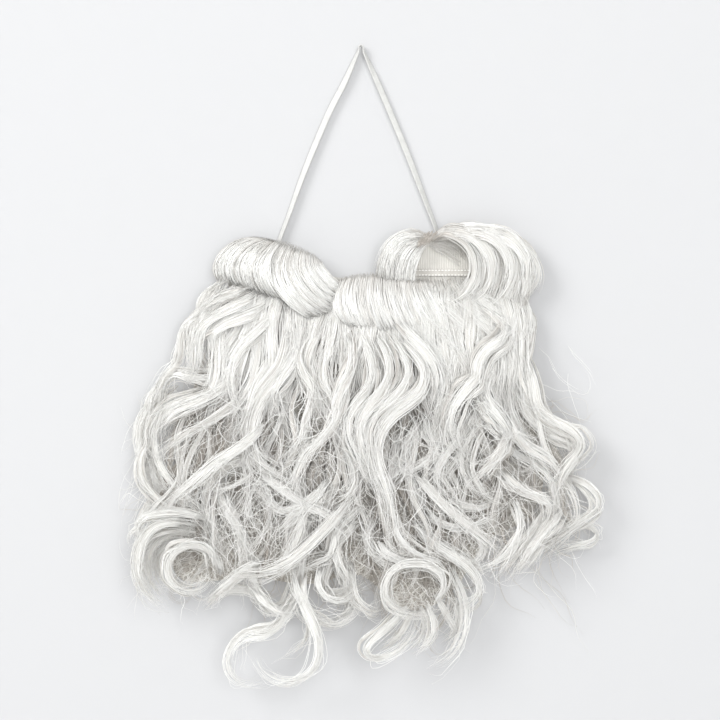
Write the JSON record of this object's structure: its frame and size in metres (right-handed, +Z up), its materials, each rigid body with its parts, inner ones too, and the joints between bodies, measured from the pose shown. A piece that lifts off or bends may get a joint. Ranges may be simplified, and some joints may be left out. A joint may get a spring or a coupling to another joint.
{
  "type": "fake beard",
  "caption": "Long curly white costume beard: wavy locks with curled tips under rolled hair along the top, hanging from a flat elastic.",
  "frame": {"origin": "underside of the elastic's fold, at the middle of its width, where the beard hangs on a hook or nail", "axes": "+X to the viewer's right, +Z up, -Y out of the front of the beard towards the viewer"},
  "size_m": [0.3822, 0.0475, 0.5166],
  "materials": {
    "hair": "glossy white synthetic hair",
    "elastic": "flat woven white elastic",
    "backing_cloth": "ribbed beige-grey cloth",
    "weft_tape": "stitched cotton tape"
  },
  "bodies": {
    "root": {"elastic_strap": "elastic", "backing": "backing_cloth", "weft_tape": "weft_tape", "left_roll": "hair", "slanting_roll": "hair", "middle_roll": "hair", "right_curls": "hair", "front_locks": "hair", "back_locks": "hair"}
  },
  "joints": []
}
